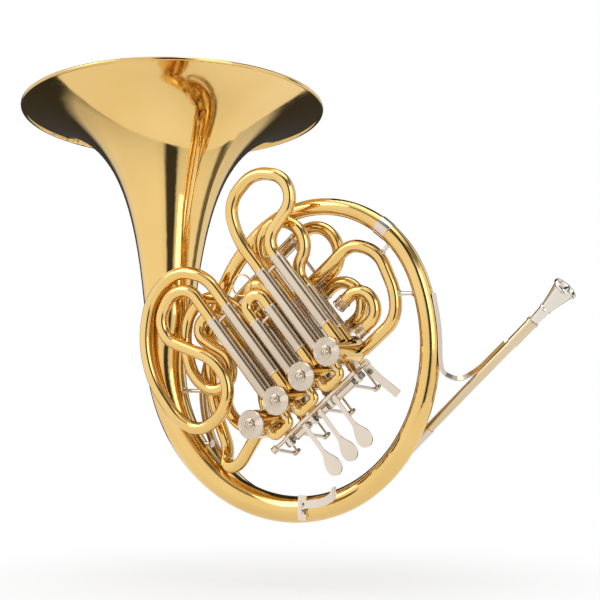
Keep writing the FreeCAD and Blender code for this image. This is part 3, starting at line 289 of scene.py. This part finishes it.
def metal(name, first, second, rough, grain, bump, stretch=None, coat=0.0):
    """A polished or drawn metal: drifting tone, uneven polish and a fine grain."""
    material, tree, shader = principled(name, first, 1.0, rough[0])
    vary_colour(tree, shader, object_noise(tree, 9.0, detail=2.0), first, second)
    vary_roughness(tree, shader, object_noise(tree, grain, stretch), *rough)
    noise_bump(tree, shader, grain, bump, 0.0004, stretch)
    if coat:
        shader.inputs["Coat Weight"].default_value = coat
        shader.inputs["Coat Roughness"].default_value = 0.03
        shader.inputs["Coat IOR"].default_value = 1.5
    return material


MATERIALS = {
    "lacquered_brass": metal("lacquered_brass", (0.86, 0.59, 0.22), (0.79, 0.52, 0.17), (0.05, 0.10), 55.0,
                             0.02, coat=0.30),
    "nickel_sleeve": metal("nickel_sleeve", (0.76, 0.64, 0.50), (0.64, 0.52, 0.39), (0.14, 0.26), 160.0,
                           0.05, stretch=(SLIDE, 18.0)),
    "turned_nickel": metal("turned_nickel", (0.74, 0.65, 0.53), (0.64, 0.55, 0.44),
                           (0.12, 0.24), 420.0, 0.08),
    "nickel_silver": metal("nickel_silver", (0.78, 0.69, 0.58), (0.70, 0.60, 0.49),
                           (0.10, 0.20), 120.0, 0.04),
    "silver_plate": metal("silver_plate", (0.84, 0.79, 0.70), (0.76, 0.71, 0.62), (0.05, 0.12), 90.0, 0.02),
    "pale_brass": metal("pale_brass", (0.76, 0.62, 0.42), (0.68, 0.53, 0.33),
                        (0.08, 0.16), 70.0, 0.03, coat=0.25),
    "spring_steel": metal("spring_steel", (0.36, 0.34, 0.31), (0.25, 0.24, 0.22), (0.22, 0.38), 300.0, 0.08),
}


PALE_NODES = ("leadpipe", "mouthpipe_receiver")


def dress_nodes():
    """Every CAD node takes the material of its own slot; the leadpipe and receiver are a paler brass."""
    slots = {part["node"]: part["material_slot"] for part in frame["record"]["subparts"]}
    for name, node in nodes.items():
        node.data.materials.clear()
        node.data.materials.append(MATERIALS["pale_brass" if name in PALE_NODES else slots[name]])
        for face in node.data.polygons:
            face.use_smooth = True


# ---- mesh tools -----------------------------------------------------------------------------------

def finish_mesh(name, mesh_data, body, material, replaced=()):
    """Link a bmesh as a piece that rides on a body."""
    mesh = bpy.data.meshes.new(name)
    bmesh.ops.recalc_face_normals(mesh_data, faces=mesh_data.faces)
    mesh_data.to_mesh(mesh)
    mesh_data.free()
    mesh.materials.append(MATERIALS[material])
    piece = bpy.data.objects.new(name, mesh)
    bpy.context.scene.collection.objects.link(piece)
    for face in mesh.polygons:
        face.use_smooth = True
    mesh.set_sharp_from_angle(angle=math.radians(32))
    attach(piece, body)
    for node in replaced:
        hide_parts(node)
    return piece


def facing(origin, axis):
    """A matrix whose Z points along axis at origin."""
    return Matrix.Translation(origin) @ axis.to_track_quat("Z", "Y").to_matrix().to_4x4()


def lathe_into(mesh_data, outline, place, steps=96):
    """Turn a closed outline of (radius, height) points about Z and put it at place."""
    rings = []
    for step in range(steps):
        turn = 2 * math.pi * step / steps
        cosine, sine = math.cos(turn), math.sin(turn)
        rings.append([mesh_data.verts.new(place @ Vector((radius * cosine, radius * sine, rise)))
                      for radius, rise in outline])
    count = len(outline)
    for step in range(steps):
        here, ahead = rings[step], rings[(step + 1) % steps]
        for index in range(count):
            after = (index + 1) % count
            mesh_data.faces.new((here[index], ahead[index], ahead[after], here[after]))


def capped(outline):
    """Close a profile that starts and ends near the axis with a hairline bore."""
    hairline = 0.00002
    return [(max(radius, hairline), rise) for radius, rise in outline]


def tube_into(mesh_data, points, radius, steps=10):
    """A round bar through points, with closed ends."""
    rings = []
    side = None
    for index, point in enumerate(points):
        before = points[max(index - 1, 0)]
        after = points[min(index + 1, len(points) - 1)]
        heading = (after - before).normalized()
        if side is None:
            side = heading.orthogonal().normalized()
        side = (side - heading * side.dot(heading)).normalized()
        other = heading.cross(side)
        rings.append([mesh_data.verts.new(point + (side * math.cos(a) + other * math.sin(a)) * radius)
                      for a in (2 * math.pi * step / steps for step in range(steps))])
    for here, ahead in zip(rings, rings[1:]):
        for step in range(steps):
            after = (step + 1) % steps
            mesh_data.faces.new((here[step], here[after], ahead[after], ahead[step]))
    mesh_data.faces.new(rings[0])
    mesh_data.faces.new(rings[-1])


# ---- pieces -----------------------------------------------------------------------------------------

# Radius and height in millimetres of the boss and finial at a cap's middle, above its face.
FINIAL = [(6.4, 0.0), (6.1, 0.9), (5.2, 1.6), (4.6, 1.8), (4.3, 1.3), (3.7, 1.3), (3.5, 2.6), (2.9, 3.2),
          (2.5, 3.2), (2.3, 4.4), (1.5, 5.4), (0.7, 6.0), (0.0, 6.1)]


def cap_outline(thickness, edge):
    """Engraved rings, a raised boss and a stepped finial, from the back face to the tip."""
    outline = [(0, 0), (edge - 0.5 * MM, 0), (edge, 0.4 * MM), (edge, thickness - 1.0 * MM),
               (edge - 0.7 * MM, thickness)]
    ring = edge - 1.5 * MM
    while ring > 7.2 * MM:
        outline += [(ring, thickness), (ring - 0.15 * MM, thickness - 0.16 * MM),
                    (ring - 0.45 * MM, thickness - 0.16 * MM), (ring - 0.6 * MM, thickness)]
        ring -= 1.35 * MM
    outline += [(radius * MM, thickness + rise * MM) for radius, rise in FINIAL]
    return capped(outline)


def valve_caps():
    """Four turned front caps with milled edges."""
    case_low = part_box("valve_1_casing")[0]
    thickness = 4.0 * MM
    edge = 14.4 * MM
    for number, centre in enumerate(VALVES, start=1):
        front = Vector((centre.x, case_low.y, centre.z))
        mesh_data = bmesh.new()
        lathe_into(mesh_data, cap_outline(thickness, edge - 0.15 * MM), facing(front, -BACK), 120)
        for notch in range(60):
            turn = 2 * math.pi * notch / 60
            around = (ROW * math.cos(turn) + SLIDE * math.sin(turn)) * (edge - 0.28 * MM)
            foot = front + around
            tube_into(mesh_data, [foot - BACK * 0.6 * MM, foot - BACK * (thickness - 1.0 * MM)], 0.34 * MM, 6)
        finish_mesh("valve_cap_%d" % number, mesh_data, "horn", "turned_nickel",
                    ["valve_caps"])


def mouthpiece():
    """A turned funnel mouthpiece with a rounded rim, cup, bead and backbore."""
    low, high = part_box("mouthpiece")
    rim_radius = (high.y - low.y) / 2
    depth = (high.y + low.y) / 2
    points = [Vector(vertex.co) for vertex in nodes["mouthpiece"].data.vertices]
    far = max(point.dot(SHANK) for point in points)
    near = min(point.dot(SHANK) for point in points)
    across = SHANK.cross(BACK)
    spread = [point.dot(across) for point in points]
    offset = (max(spread) + min(spread)) / 2
    rim = SHANK * (far - 0.1 * MM) + across * offset + BACK * depth
    length = far - near
    r = rim_radius
    outline = [(r - 4.6 * MM, -1.6 * MM), (r - 3.8 * MM, -0.5 * MM), (r - 2.6 * MM, 0.0),
               (r - 1.3 * MM, -0.2 * MM), (r - 0.4 * MM, -1.0 * MM), (r, -2.2 * MM),
               (r - 0.1 * MM, -3.2 * MM), (r - 0.8 * MM, -4.0 * MM), (r - 1.7 * MM, -4.6 * MM),
               (r - 2.2 * MM, -6.5 * MM), (r * 0.72, -12 * MM), (r * 0.62, -17 * MM),
               (r * 0.53, -22.5 * MM), (r * 0.46, -27 * MM), (r * 0.44, -28 * MM), (r * 0.49, -28.7 * MM),
               (r * 0.49, -30.0 * MM), (r * 0.44, -30.7 * MM), (r * 0.41, -34 * MM), (r * 0.36, -44.4 * MM),
               (3.9 * MM, -44.5 * MM), (3.85 * MM, -length + 0.3 * MM), (3.5 * MM, -length),
               (3.0 * MM, -length), (2.6 * MM, -30 * MM), (2.5 * MM, -22 * MM), (3.4 * MM, -16 * MM),
               (5.2 * MM, -9 * MM), (6.9 * MM, -4.4 * MM)]
    mesh_data = bmesh.new()
    lathe_into(mesh_data, outline, facing(rim, SHANK), 128)
    finish_mesh("mouthpiece_turned", mesh_data, "mouthpiece", "silver_plate", ["mouthpiece"])


def helix(start, axis, length, radius, turns, steps=22):
    """Points of a coil spring."""
    side = axis.orthogonal().normalized()
    other = axis.cross(side)
    count = int(turns * steps)
    points = []
    for index in range(count + 1):
        turn = 2 * math.pi * index / steps
        outward = side * math.cos(turn) + other * math.sin(turn)
        points.append(start + axis * (length * index / count) + outward * radius)
    return points


def return_springs():
    """Wound steel springs beside the lever barrels, one for each closed tube in the CAD node."""
    points = sorted((Vector(v.co) for v in nodes["return_springs"].data.vertices), key=lambda p: p.dot(ROW))
    coils = []
    for point in points:
        along = point.dot(ROW)
        if coils and along - coils[-1][1] < 4 * MM:
            coils[-1][1] = max(coils[-1][1], along)
        else:
            coils.append([along, along])
    across = (max(p.dot(SLIDE) for p in points) + min(p.dot(SLIDE) for p in points)) / 2
    depth = (max(p.y for p in points) + min(p.y for p in points)) / 2
    for number, (low, high) in enumerate(coils, start=1):
        start = ROW * (low + 0.7 * MM) + SLIDE * across + BACK * depth
        length = high - low - 1.4 * MM
        turns = max(2.5, round(length / (1.25 * MM) * 2) / 2)
        mesh_data = bmesh.new()
        tube_into(mesh_data, helix(start, ROW, length, 3.3 * MM, turns), 0.5 * MM, 8)
        finish_mesh("return_spring_%d" % number, mesh_data, "horn", "spring_steel",
                    ["return_springs"])


def shells(node):
    """The connected pieces of a node's mesh, each as a list of points."""
    mesh = nodes[node].data
    parent = list(range(len(mesh.vertices)))

    def root(index):
        while parent[index] != index:
            parent[index] = parent[parent[index]]
            index = parent[index]
        return index

    for edge in mesh.edges:
        first, second = edge.vertices
        parent[root(first)] = root(second)
    groups = {}
    for vertex in mesh.vertices:
        groups.setdefault(root(vertex.index), []).append(Vector(vertex.co))
    return list(groups.values())


def spans(points, directions):
    """Lowest and highest reach of points along each direction."""
    reaches = [[point.dot(direction) for point in points] for direction in directions]
    return [(min(reach), max(reach)) for reach in reaches]


RING_OUTLINE = [(-0.25, 0.1), (0.25, 0.1), (0.55, 0.35), (0.62, 0.9), (0.45, 1.35), (0.3, 1.5), (0.3, 1.75),
                (0.42, 1.85), (0.42, 2.2), (0.25, 2.4), (-0.25, 2.4)]


SLEEVE_NODES = ("front_sleeves", "rear_sleeves", "main_tuning_sleeves", "f_tuning_sleeves",
                "bb_tuning_sleeves")
SLEEVE_WIDTH_LEAST = 13.0 * MM
SLEEVE_LENGTH_LEAST = 9.5 * MM
ROUND_WITHIN = 0.3 * MM


def sleeve_rings():
    """A rounded solder ring at each mouth of every slide sleeve."""
    axes = (ROW, BACK, SLIDE)
    for node in SLEEVE_NODES:
        mesh_data = bmesh.new()
        for points in shells(node):
            reach = spans(points, axes)
            extent = [high - low for low, high in reach]
            long_way = max((0, 2), key=lambda index: abs(extent[index] - extent[1]))
            across, depth, width = reach[2 - long_way], reach[1], extent[1]
            is_round = abs(extent[2 - long_way] - width) <= ROUND_WITHIN
            if width < SLEEVE_WIDTH_LEAST or extent[long_way] < SLEEVE_LENGTH_LEAST or not is_round:
                continue
            radius = width / 2
            middle = axes[2 - long_way] * sum(across) / 2 + BACK * sum(depth) / 2
            outline = [(radius + out * MM, rise * MM) for out, rise in RING_OUTLINE]
            for end, inward in ((reach[long_way][0], 1), (reach[long_way][1], -1)):
                place = facing(middle + axes[long_way] * end, axes[long_way] * inward)
                lathe_into(mesh_data, outline, place, 64)
        finish_mesh(node + "_rings", mesh_data, "horn", "nickel_silver")


def screw_into(mesh_data, place, axis, radius):
    """A domed screw head, standing on place and facing along axis."""
    frame_here = facing(place, axis)
    outline = capped([(0, -0.6 * radius), (radius * 0.98, -0.6 * radius), (radius, 0.10 * radius),
                      (radius * 0.93, 0.30 * radius), (radius * 0.70, 0.46 * radius),
                      (radius * 0.35, 0.55 * radius),
                      (0, 0.58 * radius)])
    lathe_into(mesh_data, outline, frame_here, 40)


def pivot_screws():
    """Screw heads on the levers' links and on the rotors' stop arms."""
    for number in (1, 2, 3, 4):
        pivot = joints["link_%d_pivot" % number]
        axis = Vector(pivot["axis"]).normalized()
        link = spans([Vector(v.co) for v in nodes["link_%d" % number].data.vertices], (axis,))[0]
        centre = Vector(pivot["pos_m"])
        mesh_data = bmesh.new()
        for end, way in ((link[0], -1), (link[1], 1)):
            screw_into(mesh_data, centre + axis * (end - centre.dot(axis)), axis * way, 1.6 * MM)
        finish_mesh("link_screw_%d" % number, mesh_data, "link_%d" % number, "spring_steel")
        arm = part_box("valve_%d_stop_arm" % number)
        centre = VALVES[number - 1]
        back = max(arm[1].y, arm[0].y)
        mesh_data = bmesh.new()
        screw_into(mesh_data, Vector((centre.x, back, centre.z)), BACK, 2.4 * MM)
        finish_mesh("stop_arm_screw_%d" % number, mesh_data, "rotor_%d" % number, "spring_steel")


camera()
world()
area_light("key", (-1.6, -1.6, 1.8), (-0.1, 0, 0.1), 1.4, 1.8, power=20)
area_light("fill", (2.4, -1.2, 0.8), (0, 0, 0), 1.2, 1.8, power=10)
area_light("top", (0.1, 0.2, 2.4), (0, 0, 0), 2.0, 1.4, power=14)
floor()
dress_nodes()
valve_caps()
mouthpiece()
return_springs()
sleeve_rings()
pivot_screws()

bpy.context.scene.view_settings.view_transform = "Standard"
